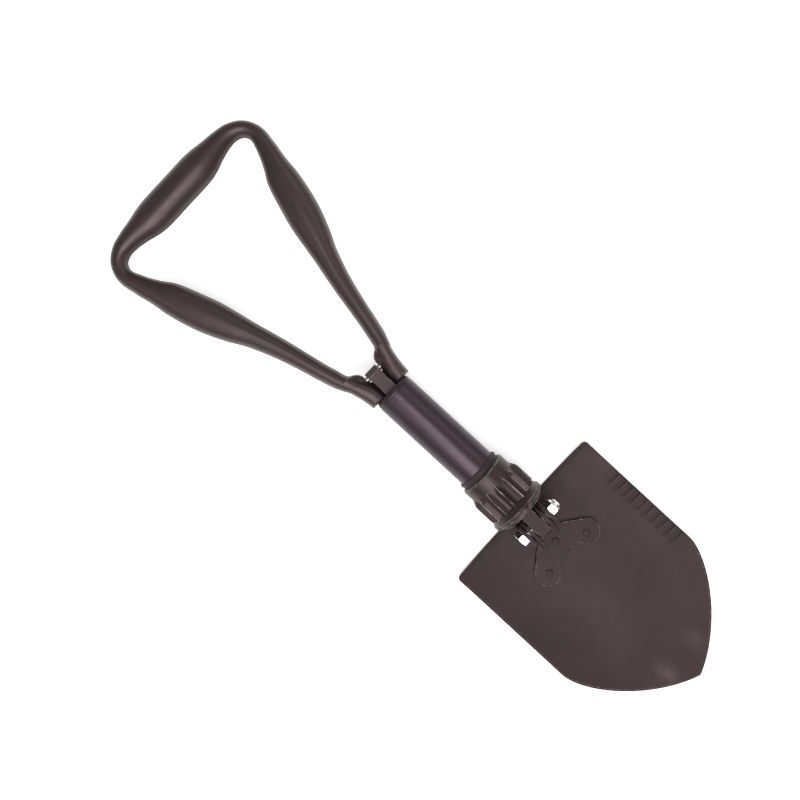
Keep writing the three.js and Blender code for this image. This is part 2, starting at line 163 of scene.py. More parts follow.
def bevelled(obj, width, segments=3, angle=40):
    """Rounds the object's sharp edges."""
    modifier = obj.modifiers.new("bevel", "BEVEL")
    modifier.width = width * MM
    modifier.segments = segments
    modifier.limit_method = "ANGLE"
    modifier.angle_limit = math.radians(angle)
    bake(obj)
    shade(obj, 40)
    return obj


def boolean(obj, others, operation):
    """Joins or cuts the object with others, which are used up."""
    for other in others:
        modifier = obj.modifiers.new("boolean", "BOOLEAN")
        modifier.operation = operation
        modifier.solver = "EXACT"
        modifier.object = other
        bake(obj)
        bpy.data.objects.remove(other)
    return obj


def arc(x, y, radius, start, end, steps=20):
    """Points on an arc, with angles in degrees."""
    angles = np.radians(np.linspace(start, end, steps))
    return [(x + radius * math.cos(a), y + radius * math.sin(a)) for a in angles]


LARGE_FACE = 5.0  # square millimetres
RIM_WIDTH = 0.5
FINE_MESH = 3000  # faces: a mesh with this many is finely divided all over


def rim_flats(obj):
    """Gives large flat faces a narrow rim, so that edge wear doesn't spread across them."""
    work = bmesh.new()
    work.from_mesh(obj.data)
    flats = [f for f in work.faces if f.calc_area() > LARGE_FACE * MM * MM]
    groups = {}
    for face in flats:
        normal = tuple(round(value, 2) + 0.0 for value in face.normal)
        groups.setdefault(normal, []).append(face)
    for faces in groups.values():
        # An even offset would throw points far out at sharp corners.
        bmesh.ops.inset_region(work, faces=faces, thickness=RIM_WIDTH * MM, use_even_offset=False)
    work.to_mesh(obj.data)
    work.free()
    return obj


def mark_wear_and_sheen(obj, least, full):
    """Stores the edge wear at each point: none up to the least convex bend, and all from the full one. On
    the collar's rib crests the same mask paints their highlight.
    """
    work = bmesh.new()
    work.from_mesh(obj.data)
    wear_and_sheen = np.zeros(len(work.verts), np.float32)
    for edge in work.edges:
        if len(edge.link_faces) == 2:
            bend = edge.calc_face_angle_signed(0)
            worn_and_sheen = min(1, max(0, (bend - least) / (full - least)))
            for v in edge.verts:
                wear_and_sheen[v.index] = max(wear_and_sheen[v.index], worn_and_sheen)
    work.free()
    obj.data.attributes.new("wear_and_sheen", "FLOAT", "POINT").data.foreach_set("value", wear_and_sheen)
    return obj


# ---------------------------------------------------------------- materials


class Nodes:
    """A material's node tree, with short calls for the nodes used here."""

    def __init__(self, name):
        self.material = bpy.data.materials.new(name)
        self.material.use_nodes = True
        self.tree = self.material.node_tree
        self.shader = self.tree.nodes["Principled BSDF"]
        self.place = self.add("ShaderNodeTexCoord").outputs["Object"]

    def add(self, kind, **settings):
        node = self.tree.nodes.new(kind)
        for key, value in settings.items():
            setattr(node, key, value)
        return node

    def link(self, source, target):
        self.tree.links.new(source, target)

    def stretched(self, x, y, z):
        """The object's own coordinates, scaled along each axis."""
        node = self.add("ShaderNodeMapping")
        node.inputs["Scale"].default_value = (x, y, z)
        self.link(self.place, node.inputs["Vector"])
        return node.outputs["Vector"]

    def noise(self, scale, detail=4, rough=0.55, vector=None):
        node = self.add("ShaderNodeTexNoise")
        node.inputs["Scale"].default_value = scale
        node.inputs["Detail"].default_value = detail
        node.inputs["Roughness"].default_value = rough
        self.link(vector or self.place, node.inputs["Vector"])
        return node.outputs["Fac"]

    def ramp(self, value, low, high, to_low=0.0, to_high=1.0):
        node = self.add("ShaderNodeMapRange")
        for key, number in zip(("From Min", "From Max", "To Min", "To Max"), (low, high, to_low, to_high)):
            node.inputs[key].default_value = number
        self.link(value, node.inputs["Value"])
        return node.outputs["Result"]

    def math(self, kind, a, b):
        node = self.add("ShaderNodeMath", operation=kind)
        for socket, value in zip(node.inputs, (a, b)):
            if isinstance(value, (int, float)):
                socket.default_value = value
            else:
                self.link(value, socket)
        return node.outputs[0]

    def mix(self, factor, a, b):
        node = self.add("ShaderNodeMix", data_type="RGBA")
        self.link(factor, node.inputs["Factor"])
        for socket, value in ((node.inputs[6], a), (node.inputs[7], b)):
            if isinstance(value, tuple):
                socket.default_value = (*value, 1)
            else:
                self.link(value, socket)
        return node.outputs[2]

    def attribute(self, name):
        return self.add("ShaderNodeAttribute", attribute_name=name).outputs["Fac"]

    def bump(self, height, distance, strength=1.0, under=None):
        node = self.add("ShaderNodeBump")
        node.inputs["Distance"].default_value = distance * MM
        node.inputs["Strength"].default_value = strength
        self.link(height, node.inputs["Height"])
        if under:
            self.link(under, node.inputs["Normal"])
        return node.outputs["Normal"]

    def finish(self, color, roughness, normal, tint=(1, 1, 1), **numbers):
        self.shader.inputs["Specular Tint"].default_value = (*tint, 1)
        self.link(color, self.shader.inputs["Base Color"])
        self.link(roughness, self.shader.inputs["Roughness"])
        self.link(normal, self.shader.inputs["Normal"])
        for key, value in numbers.items():
            socket = self.shader.inputs[key.replace("_", " ")]
            if isinstance(value, (int, float)):
                socket.default_value = value
            else:
                self.link(value, socket)
        return self.material


WARM_SHINE = (1, 0.8, 0.84)  # tint of the reflections on coated and moulded pieces


def brighter(color, factor, lift=0.0):
    return tuple(value * factor + lift for value in color)


def coating(name, light, dark, worn_and_sheen, rough, shine=0.18, grain=0.03, edge=1.0):
    """A baked coat over metal: fine orange peel, slow drift of tone, rubbed on edges, and lightened in
    listed patches, which at the blade's tip are painted highlights.
    """
    n = Nodes(name)
    drift = n.noise(18, 3)
    speckle = n.noise(2600, 2, 0.6)
    base = n.mix(n.ramp(drift, 0.35, 0.65), dark, light)
    base = n.mix(n.ramp(speckle, 0.35, 0.75, 0, 0.35), base, brighter(light, 1.35))
    # Lighter patches from a table: at the blade's tip these are painted highlights.
    sheen_and_pale_patches = n.math("MULTIPLY", n.attribute("sheen_and_pale"), n.ramp(n.noise(70, 5, 0.7), 0.25, 0.6, 0.3, 1.0))
    base = n.mix(sheen_and_pale_patches, base, brighter(light, 2.0, 0.01))
    scuffed = n.math("MULTIPLY", n.attribute("wear_and_sheen"), n.ramp(n.noise(260, 5, 0.7), 0.42, 0.62))
    color = n.mix(n.math("MULTIPLY", scuffed, edge), base, worn_and_sheen)
    roughness = n.ramp(n.noise(90, 5), 0.3, 0.7, rough - 0.05, rough + 0.05)
    normal = n.bump(n.noise(1500, 3, 0.6), grain)
    return n.finish(color, roughness, normal, WARM_SHINE, Metallic=0.0, Specular_IOR_Level=shine)


def anodised(name, light, dark, rough):
    """Drawn aluminium tube, dyed: faint draw lines, fine rings and a slight change of tone."""
    n = Nodes(name)
    lines = n.noise(1, 4, 0.6, n.stretched(14, 1900, 1900))
    rings = n.noise(1, 3, 0.6, n.stretched(900, 30, 30))
    tone = n.math("ADD", n.ramp(n.noise(26, 3), 0.3, 0.7, 0, 0.7), n.ramp(lines, 0.3, 0.7, 0, 0.3))
    color = n.mix(tone, dark, light)
    roughness = n.ramp(rings, 0.3, 0.7, rough - 0.04, rough + 0.05)
    normal = n.bump(lines, 0.002, 1.0, n.bump(rings, 0.002))
    return n.finish(color, roughness, normal, Metallic=0.6, Specular_IOR_Level=0.35)


def moulded(name, light, dark, worn_and_sheen, rough, grain=0.02, edge=0.6, shine=0.6):
    """Moulded nylon: fine eroded texture, glass-fibre flecks, polished pale on handled edges; on the
    collar's rib crests the pale edge colour is also a painted highlight.
    """
    n = Nodes(name)
    fibres = n.noise(1, 2, 0.5, n.stretched(700, 2400, 2400))
    base = n.mix(n.ramp(n.noise(30, 4), 0.35, 0.65), dark, light)
    base = n.mix(n.ramp(fibres, 0.58, 0.78, 0, 0.4), base, brighter(light, 1.6))
    lightened = n.math("MULTIPLY", n.attribute("wear_and_sheen"), n.ramp(n.noise(180, 4), 0.4, 0.6))
    color = n.mix(n.math("MULTIPLY", lightened, edge), base, worn_and_sheen)
    roughness = n.ramp(n.noise(120, 4), 0.3, 0.7, rough - 0.05, rough + 0.06)
    normal = n.bump(n.noise(2300, 2, 0.5), grain)
    return n.finish(color, roughness, normal, WARM_SHINE, Metallic=0.0, Specular_IOR_Level=shine)


def bare_metal(name, light, dark, rough, along=(60, 60, 60), marks=0.008):
    """Machined or plated metal: fine tool marks and cloudy patches in its shine."""
    n = Nodes(name)
    tool = n.noise(1, 3, 0.6, n.stretched(*(value * 20 for value in along)))
    clouds = n.noise(340, 4, 0.6)
    color = n.mix(n.ramp(clouds, 0.35, 0.65), dark, light)
    roughness = n.ramp(clouds, 0.3, 0.7, rough - 0.06, rough + 0.08)
    normal = n.bump(tool, marks)
    return n.finish(color, roughness, normal, Metallic=1.0)


def rubber(name):
    """Moulded rubber: dull, with a fine uneven skin."""
    n = Nodes(name)
    color = n.mix(n.ramp(n.noise(120, 3), 0.3, 0.7), (0.020, 0.0125, 0.0135), (0.032, 0.0200, 0.0215))
    roughness = n.ramp(n.noise(700, 3), 0.3, 0.7, 0.5, 0.66)
    skin = n.bump(n.noise(1800, 3), 0.02)
    return n.finish(color, roughness, skin, Metallic=0.0, Specular_IOR_Level=0.3)


def studio_floor(name):
    """A pale light table, whose own glow keeps it white under the object."""
    n = Nodes(name)
    color = n.mix(n.ramp(n.noise(3, 3), 0.3, 0.7), (0.93, 0.93, 0.93), (0.95, 0.95, 0.95))
    roughness = n.ramp(n.noise(40, 3), 0.3, 0.7, 0.75, 0.85)
    n.link(color, n.shader.inputs["Emission Color"])
    grain = n.bump(n.noise(900, 2), 0.01)
    return n.finish(color, roughness, grain, Metallic=0.0, Emission_Strength=0.42)


STEEL_COAT = coating(
    "coated_steel",
    light=(0.0345, 0.0225, 0.0245),
    dark=(0.0275, 0.0178, 0.0196),
    worn_and_sheen=(0.24, 0.19, 0.195),
    rough=0.50,
)
LUG_COAT = coating(
    "coated_lug",
    light=(0.060, 0.042, 0.047),
    dark=(0.050, 0.035, 0.039),
    worn_and_sheen=(0.22, 0.18, 0.18),
    rough=0.45,
)
HANDLE_NYLON = moulded(
    "handle_polymer",
    light=(0.026, 0.0150, 0.0165),
    dark=(0.021, 0.0120, 0.0130),
    worn_and_sheen=(0.20, 0.16, 0.16),
    rough=0.38,
    grain=0.015,
    shine=0.55,
)
# The pale edge colour, with a strong edge weight, paints a highlight along the collar's rib crests as well
# as their wear.
GRIP_NYLON = moulded(
    "black_polymer",
    light=(0.022, 0.0128, 0.0140),
    dark=(0.016, 0.0095, 0.0105),
    worn_and_sheen=(0.50, 0.42, 0.42),
    rough=0.38,
    grain=0.010,
    edge=0.9,
    shine=0.4,
)
TUBE_ANODISE = anodised("anodised_tube", (0.052, 0.033, 0.043), (0.042, 0.027, 0.036), 0.34)
BRIGHT_ZINC = bare_metal("bright_zinc", (0.94, 0.94, 0.92), (0.82, 0.82, 0.81), 0.2, marks=0.003)
OILED_STEEL = bare_metal("oiled_steel", (0.09, 0.075, 0.075), (0.06, 0.05, 0.05), 0.45)
PLAIN_STEEL = bare_metal("plain_steel", (0.42, 0.41, 0.41), (0.3, 0.29, 0.29), 0.36, (900, 40, 40))
BRASS = bare_metal("brass", (0.66, 0.5, 0.24), (0.5, 0.37, 0.17), 0.33, (900, 40, 40))
SEAL_RUBBER = rubber("seal_rubber")


def dress(obj, material, body=None, replaced=(), wear_and_sheen=(0.2, 0.6)):
    """Gives a piece its material and, unless it is a CAD node, its edge wear mask (on the collar also its
    painted crest highlight) and its place in the assembly.
    """
    obj.data.materials.clear()
    obj.data.materials.append(material)
    if body:
        if len(obj.data.polygons) < FINE_MESH:
            rim_flats(obj)
        mark_wear_and_sheen(obj, *wear_and_sheen)
        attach(obj, body)
        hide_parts(*replaced)
    return obj


# ---------------------------------------------------------------- shaft


def shaft_tube():
    """The tube, with a groove just behind its rim."""
    r = TUBE_RADIUS
    inner = r - 2
    end = local_box("shaft_tube")[1].x
    profile = [
        (TUBE_TOP, inner, 0.3),
        (TUBE_TOP, r - 0.5, 0.1),
        (TUBE_TOP + 0.35, r - 0.05, 0.2),
        (2.5, r - 0.05, 0.1),
        (2.7, r - 0.7, 0.05),
        (3.3, r - 0.7, 0.05),
        (3.5, r, 0.15),
        (end, r, 0.4),
        (end, inner, 0.3),
    ]
    tube = turned("tube_skin", profile, segments=224)
    return dress(tube, TUBE_ANODISE, "shaft", ["shaft_tube"])


def end_bush():
    """The bush's flange at the tube's rim and its spigot inside the tube."""
    low, high = local_box("end_bush")
    radius = high.z
    spigot = TUBE_RADIUS - 2.3
    profile = [
        (low.x, BUSH_BORE, 0.3),
        (low.x, radius - 1.5, 0.35),
        (0.7, radius, 0.2),
        (0.9, radius - 0.1, 0.1),
        (0.9, spigot, 0.1),
        (high.x, spigot, 0.5),
        (high.x, BUSH_BORE, 0.3),
    ]
    return dress(turned("rim_bush", profile), GRIP_NYLON, "shaft", ["end_bush"])


# ---------------------------------------------------------------- locking collar

# Where the ribs start, reach full height and end, the collar's radius under them and over their crests.
RIBS = dict(count=15, start=109.0, full=115.4, end=132.4, base=21.2, crest=24.45)
RIB_FORM = dict(flank=1.1, crest=0.15, foot=0.45)  # flank slope, crest radius and the foot's fillet
RIB_TURN = 0.05  # how far the collar's ribs have turned past upright, in radians
POINTS_PER_RIB = 28
MOUTH_EDGE = 98.2  # where the collar starts, behind the seal's groove
COLLAR_BORE = 18.4
POCKET = dict(start=107.5, radius=20.1)  # the bore's wide part, which holds the insert
# The flange from its cone to its face: distance before the face, depth under the rim, corner.
FLANGE = [
    (4.6, 0.6, 0.5),
    (4.1, 0, 0.3),
    (3.0, 0, 0.3),
    (2.7, 0.8, 0.2),
    (2.0, 0.8, 0.2),
    (1.7, 0.1, 0.3),
    (0.7, 0.1, 0.3),
    (0, 1.0, 0.3),
]


def rib_height(x, offset):
    """How far a rib stands above the collar, at a distance round the collar from its crest."""
    if not RIBS["start"] < x < RIBS["end"] + 0.1:
        return 0.0
    # The crest climbs in a straight line, then rounds off to its full height.
    along = (x - RIBS["start"]) / (RIBS["full"] - RIBS["start"])
    climb = along if along < 0.8 else 1 - max(0.0, 1.2 - along) ** 2 / 0.8
    flank, crest, foot = RIB_FORM["flank"], RIB_FORM["crest"], RIB_FORM["foot"]
    rise = (RIBS["crest"] - RIBS["base"]) * climb - flank * (math.hypot(offset, crest) - crest)
    if rise < -foot:
        return 0.0
    return rise if rise > foot else (rise + foot) ** 2 / (4 * foot)


def divided(section, least_radius, longest):
    """The section with its long stretches outside a radius cut into short steps."""
    points = []
    for (x0, r0), (x1, r1) in zip(section, section[1:] + section[:1]):
        cut = min(r0, r1) > least_radius and abs(x1 - x0) > 2
        pieces = round(abs(x1 - x0) / longest) if cut else 1
        points += [(x0 + (x1 - x0) * k / pieces, r0 + (r1 - r0) * k / pieces) for k in range(pieces)]
    return points


def collar_skin():
    """The collar: rounded mouth, ribs, a cone that rises to a grooved flange, and the bore."""
    high = local_box("locking_collar")[1]
    base, end = RIBS["base"], RIBS["end"]
    stations = [
        (MOUTH_EDGE, COLLAR_BORE, 0.3),
        (MOUTH_EDGE, base - 1.4, 0.5),
        (MOUTH_EDGE + 1.2, base, 1.2),
        (end, base, 0.05),
        (end + 0.1, base + 1.5, 0.2),
    ]
    stations += [(high.x - before, high.z - under, corner) for before, under, corner in FLANGE]
    stations += [
        (high.x, POCKET["radius"], 0.3),
        (POCKET["start"], POCKET["radius"], 0.3),
        (POCKET["start"], COLLAR_BORE, 0.3),
    ]
    section = divided(fillet(stations, 0.3, 6), base - 0.1, 0.25)
    segments = RIBS["count"] * POINTS_PER_RIB
    rib_angle = 2 * math.pi / RIBS["count"]
    verts = []
    for x, r in section:
        for j in range(segments):
            turn = (j / POINTS_PER_RIB + 0.5) % 1.0 - 0.5
            # Points gather towards the crest, where the surface bends most.
            spread = abs(turn) ** 1.5 / 0.5**0.5 * math.copysign(1, turn)
            angle = (j / POINTS_PER_RIB + spread - turn) * rib_angle - RIB_TURN
            height = rib_height(x, abs(spread) * rib_angle * base) if abs(r - base) < 0.05 else 0
            verts.append((x, (r + height) * math.sin(angle), (r + height) * math.cos(angle)))
    obj = make("collar_grip", verts, grid_faces(len(section), segments, True, True), 34)
    # Low bend limits make the pale edge colour a painted highlight line along each rib's crest.
    return dress(obj, GRIP_NYLON, "collar", ["locking_collar"], wear_and_sheen=(0.1, 0.3))


def thrust_ring():
    """The plain ring that bears on the ears."""
    low, high = local_box("thrust_ring")
    profile = [
        (low.x, BUSH_BORE, 0.3),
        (low.x, high.z, 0.5),
        (high.x - 0.8, high.z, 0.6),
        (high.x, high.z - 1.6, 0.4),
        (high.x, BUSH_BORE, 0.3),
    ]
    return dress(turned("thrust_face", profile), GRIP_NYLON, "thrust", ["thrust_ring"])


def dust_seal():
    """The seal's lip, with a groove between it and the collar's mouth."""
    lip = [
        (93, 17.75, 0.1),
        (93, 18.2, 0.2),
        (93.8, 19.1, 0.6),
        (95.4, 19.5, 0.3),
        (95.6, 18.0, 0.1),
        (97.9, 19.0, 0.1),
        (97.9, 17.75, 0.1),
    ]
    return dress(turned("mouth_seal", lip), SEAL_RUBBER, "collar", ["dust_seal"])


# ---------------------------------------------------------------- spindle


def pivot_hole(x, radius, reach=30):
    """A bar across the shovel, to cut a hole with."""
    section = [(-reach, 0), (-reach, radius), (reach, radius), (reach, 0)]
    return turned("hole", section, 0, 64, "Y", (x, 0, 0))


def handle_block():
    """The block between the knuckles, rounded where the handle swings past."""
    low, high = local_box("handle_block")
    corner = 5.3
    side = [(high.x, low.z), (high.x, high.z)]
    side += arc(low.x + corner, high.z - corner, corner, 90, 180, 12)
    side += arc(low.x + corner, low.z + corner, corner, 180, 270, 12)
    block = slab("handle_lug", side, low.y, high.y, "XZ")
    boolean(block, [pivot_hole(HANDLE_PIVOT, PIN_HOLE)], "DIFFERENCE")
    return dress(bevelled(block, 0.5), LUG_COAT, "spindle", ["handle_block"])


def hinge_tongue():
    """The tongue between the ears, with its end rounded about the bolt."""
    low, high = local_box("hinge_tongue")
    radius = 12.8
    reach = math.degrees(math.asin(high.z / radius))
    side = [(low.x, high.z), (low.x, low.z)] + arc(BLADE_PIVOT, 0, radius, -reach, reach, 24)
    tongue = slab("tongue_lug", side, low.y, high.y, "XZ")
    boolean(tongue, [pivot_hole(BLADE_PIVOT, BOLT_HOLE)], "DIFFERENCE")
    return dress(bevelled(tongue, 0.6), STEEL_COAT, "spindle", ["hinge_tongue"])


# ---------------------------------------------------------------- handle

# From the middle of the grip to the end of one leg: centre x, y, width across and depth.
HANDLE_LINE = [
    (-239.3, 0, 29.4, 25),
    (-239.3, 22, 29.4, 25),
    (-239.6, 33, 27.2, 24),
    (-240.3, 44, 22.2, 21.5),
    (-240.6, 55, 18.4, 19),
    (-239.2, 65.5, 15.6, 17.5),
    (-233.6, 74.6, 13.6, 17),
    (-223, 78.9, 13, 17),
    (-208.6, 75.7, 15.8, 17.5),
    (-195.6, 71.2, 19.6, 19),
    (-183, 66.6, 25.4, 21),
    (-163, 60.7, 28, 22.5),
    (-146.7, 55.4, 27.8, 22.5),
    (-130.4, 50, 24.4, 21.5),
    (-114.1, 44.2, 19.6, 20),
    (-90, 36.8, 16.2, 19),
    (-65.2, 30.8, 14.3, 19),
    (-52, 27.8, 13.9, 19),
]
# The leg's last stretch, drawn by its edges and crest: x, inner edge, outer edge, crest, depth.
KNUCKLE_LINE = [
    (-46, 19.3, 33.1, 26.2, 19),
    (-40, 18.0, 31.5, 24.8, 19),
    (-36, 16.9, 30.2, 23.6, 19),
    (-33.6, 15.2, 29.4, 22.8, 19),
    (-32.4, 13.0, 29.0, 22.4, 19),
    (-30.6, 10.6, 28.3, 21.8, 19),
    (-28, 8.6, 27.2, 21.0, 19),
    (-25, 7.5, 25.5, 20.0, 19),
    (-22.6, 6.6, 24.7, 19.2, 19),
    (-20.6, 5.95, 24.1, 18.6, 19),
    (-14, 5.95, 22.6, 17.0, 19),
    (-8, 5.95, 21.6, 15.8, 18.9),
    (-4, 5.95, 21.2, 15.2, 18.8),
    (-0.6, 5.95, 20.9, 14.9, 18.6),
]
PARTING = dict(out=0.4, half=0.6)  # the moulding's parting ridge round the outline
LOBE_DEPTH = 0.62  # height of a knuckle's inner lobe against the leg's
LOBE_SPREAD = ((-32, -10), (1.2, 1.9))  # along a knuckle: x, and how far the leg's curve runs into the lobe
SQUARE_END = (-100, -52)  # where the leg's sections turn from square to the leg to square to the shaft
BUSH_HOLE = dict(radius=4.4, reach=21)  # the hole through the knuckles for the pin's bushes
RIM_CLEARANCE = 0.05


def smooth_line(points, steps):
    """A Catmull-Rom curve through points of any dimension."""
    p = np.array(points, float)
    p = np.vstack([2 * p[0] - p[1], p, 2 * p[-1] - p[-2]])
    out = []
    for i in range(1, len(p) - 2):
        a, b, c, d = p[i - 1 : i + 3]
        for k in range(steps):
            t = k / steps
            cubic = 2 * b + (c - a) * t + (2 * a - 5 * b + 4 * c - d) * t**2
            out.append(0.5 * (cubic + (3 * b - 3 * c + d - a) * t**3))
    out.append(p[-2])
    return np.array(out)


def leg_stations():
    """Along half the handle: crest, direction across, inner and outer reach, depth, share of lobe."""
    plain = [(x, y, width / 2, width / 2, depth) for x, y, width, depth in HANDLE_LINE]
    edges = [(x, crest, crest - inner, outer - crest, d) for x, inner, outer, crest, d in KNUCKLE_LINE]
    line = smooth_line(plain + edges, 8)
    tangents = np.gradient(line[:, :2], axis=0)
    tangents /= np.linalg.norm(tangents, axis=1)[:, None]
    tangents[0] = (0, 1)
    stations = []
    for (x, y, inner, outer, depth), (tx, ty) in zip(line, tangents):
        square = float(np.interp(x, SQUARE_END, (0, 1)))
        eased = square * square * (3 - 2 * square)
        across = Vector((ty, -tx)).lerp(Vector((0, -1)), eased).normalized()
        lobe = max(0.0, min(1.0, (inner - outer - 0.3) / 2))
        stations.append((x, y, across.x, across.y, inner, outer, depth, lobe))
    return stations


def around_angles():
    """Angles round a section, closer together at the parting ridge on either side."""
    ridge = [0, 0.35, 0.8, 1.4, 2.4, 4]
    quarter = np.radians(ridge + list(np.linspace(9, 90, 15)))
    half = list(quarter) + [math.pi - a for a in reversed(quarter[:-1])]
    return half + [2 * math.pi - a for a in reversed(half[1:-1])]


def lobe_rise(x, t, inner, outer, lobe):
    """Height of a knuckle's inner side, from 0 to 1: the leg's curve running into a lower lobe."""
    spread = float(np.interp(x, *LOBE_SPREAD))
    leg = math.sqrt(max(0.0, 1 - (t * inner / min(inner, outer * spread)) ** 2))
    flat = LOBE_DEPTH * lobe * (1 - t**4) ** 0.5
    joined = (leg**3 + flat**3) ** (1 / 3)
    # Where the two meet, the join would stand above the crest by this much.
    excess = (1 + flat**3) ** (1 / 3)
    return joined * min(1.0, 1 / excess + t * 0.2)


def handle_frame():
    """One bar swept round the D, trimmed about its pivot and bored for the pin's bushes."""
    half = leg_stations()
    mirrored = [(x, -y, ax, -ay, *rest) for x, y, ax, ay, *rest in reversed(half[1:])]
    stations = mirrored + half
    angles = around_angles()
    verts = []
    for x, y, ax, ay, inner, outer, depth, lobe in stations:
        for angle in angles:
            # Positive values across the section are on the handle's inner side.
            t = math.cos(angle)
            rise = abs(math.sin(angle))
            if lobe and t > 0:
                rise = lobe_rise(x, t, inner, outer, lobe)
            z = math.copysign(rise, math.sin(angle)) * depth / 2
            ridge = PARTING["out"] * math.exp(-((z / PARTING["half"]) ** 4)) * (1 - lobe)
            reach = t * (inner if t > 0 else outer) + math.copysign(ridge, t)
            verts.append((x + ax * reach, y + ay * reach, z))
    around = len(angles)
    faces = grid_faces(len(stations), around, False, True)
    faces.append(tuple(range(around)))
    faces.append(tuple(len(verts) - 1 - k for k in range(around)))
    bar = make("handle_grip", verts, faces)
    clear = local_box("end_bush")[0].x - HANDLE_PIVOT - RIM_CLEARANCE
    far, tall = -300, 60
    rim = arc(HANDLE_PIVOT, 0, clear, 60, -60, 60)
    trim = slab("trim", [(far, -tall), (far, tall)] + rim, -120, 120, "XZ")
    boolean(bar, [trim], "INTERSECT")
    boolean(bar, [pivot_hole(HANDLE_PIVOT, **BUSH_HOLE)], "DIFFERENCE")
    shade(bar, 32)
    return dress(bar, HANDLE_NYLON, "handle", ["handle_frame"], wear_and_sheen=(0.55, 1.0))


# ---------------------------------------------------------------- blade

BLADE = dict(top=148.1, half=79.4, straight=268.8, tip=355.4, tip_half=2.5, corner=3.4)
FRONT, SHEET, FLAT = -30.0, 2.2, 30.0
SIDE_RISE, TIP_RISE, HEM = 6.0, 3.5, 1.7
BEZIER_HANDLES = [(287.9, 79.4), (336, 52.2)]  # of the outline past the straight side
SERRATIONS = dict(count=10, first=189.4, pitch=8.04, length=13.8, depth=1.25, wall=0.14, runout=3.0)
# Distances from the blade's side to its points, close together at the ground edge and the hollows' ends.
ACROSS = [0, 0.12, 0.3, 0.55, 0.85, 1.2, 1.45, 1.6, 1.75, 2.0, 2.5, 3.2, 4, 5, 6.2, 7.5, 9]
ACROSS += [10.2, 11.2, 12, 12.8, 13.5, 15, 17, 20, 23.5, 27, 31, 35, 39, 43, 47, 50, 55, 61, 67, 73, 79.4]
EDGE = dict(depth=1.25, width=1.7, start=156, runout=6)  # ground on the front, from below the hem
CREASE = dict(depth=0.45, place=2.15 * HEM, half=0.45)  # where the rolled hem meets the sheet
CORNER = dict(depth=0.35, width=0.5)  # taken off the back along the outline
TUCK = dict(depth=0.5, width=1.5)  # how the back rises into the hem
DIMPLE = dict(depth=0.35, radius=3.9)  # in the back, round each rivet
# Patches where the blade's front is painted lighter: x, y, reach along, reach across, strength. The two at
# the tip are painted highlights, where the dished tip catches the light; the others are pale patches.
SHEEN_AND_PALE_PATCHES = [
    (334, -18, 10, 6, 0.9),
    (331, 18, 11, 7, 0.6),
    (258, -12, 26, 14, 0.22),
    (215, 14, 12, 8, 0.2),
    (300, 30, 22, 16, 0.15),
]
RIVETS = {"rivet_middle": (188.5, 0.0), "rivet_left": (203.2, 23.3), "rivet_right": (203.2, -23.3)}


def shoulder_curve(samples=400):
    """The blade's outline from where its side stops being straight to its tip."""
    b = BLADE
    p = np.array([(b["straight"], b["half"]), *BEZIER_HANDLES, (b["tip"], b["tip_half"])])
    t = np.linspace(0, 1, samples)[:, None]
    return (1 - t) ** 3 * p[0] + 3 * (1 - t) ** 2 * t * p[1] + 3 * (1 - t) * t**2 * p[2] + t**3 * p[3]


def blade_rows():
    """Values of x along the blade, close together where the surface has detail."""
    b = BLADE
    hem = [b["top"] + HEM * (1 - math.cos(a)) for a in np.linspace(0, math.pi, 17)]
    sheet, teeth = b["top"] + 2 * HEM + 0.6, 186
    plain = list(np.arange(sheet, teeth, 1.6))
    toothed = list(np.arange(teeth, b["straight"], 0.55))
    shoulder = shoulder_curve()
    steps = np.concatenate([np.linspace(0, 0.6, 40, endpoint=False), np.linspace(0.6, 1, 90)])
    index = np.round(steps * (len(shoulder) - 1)).astype(int)
    curve = sorted(set(shoulder[i][0] for i in index))
    return hem + plain + toothed + curve


def half_width(x):
    """Half the blade's width, with its top corners rounded."""
    b = BLADE
    if x < b["top"] + b["corner"]:
        inset = b["corner"] - (x - b["top"])
        return b["half"] - b["corner"] + math.sqrt(max(0, b["corner"] ** 2 - inset**2))
    if x <= b["straight"]:
        return b["half"]
    curve = shoulder_curve()
    return float(np.interp(x, curve[:, 0], curve[:, 1]))


def dish(x, y):
    """Height of the pressed sheet's front: flat in the middle, rising to the sides and the tip."""
    beyond = max(0.0, abs(y) - FLAT) / (BLADE["half"] - FLAT)
    forward = max(0.0, x - BLADE["straight"]) / (BLADE["tip"] - BLADE["straight"])
    return FRONT + SIDE_RISE * beyond**2 + TIP_RISE * forward**2


def edge_distance(x, y, outline):
    """Distance from a point to the outline, beside the straight part or along the curve."""
    if x < BLADE["straight"] - 2:
        return BLADE["half"] - abs(y)
    return float(np.min(np.hypot(outline[:, 0] - x, outline[:, 1] - abs(y))))


def serration(x, y):
    """Depth of the ground hollows: each falls away gently, then ends in a steep wall."""
    s = SERRATIONS
    inward = BLADE["half"] - y
    along = (x - s["first"]) / s["pitch"] + 1
    if y < 0 or inward > s["length"] or along < 0 or along > s["count"]:
        return 0.0
    phase, wall = along % 1.0, s["wall"]
    profile = (1 - phase) / wall if phase > 1 - wall else (phase / (1 - wall)) ** 1.6
    fade = min(1.0, (s["length"] - inward) / s["runout"])
    slope = 1 - 0.35 * inward / s["length"]
    return s["depth"] * profile * fade**0.6 * slope


def plan_of(obj):
    """The x and y of an object's points in the drawing frame."""
    points = np.zeros(len(obj.data.vertices) * 3, np.float32)
    obj.data.vertices.foreach_get("co", points)
    return ((points.reshape(-1, 3) - np.array(ORIGIN)) / MM).T[:2]


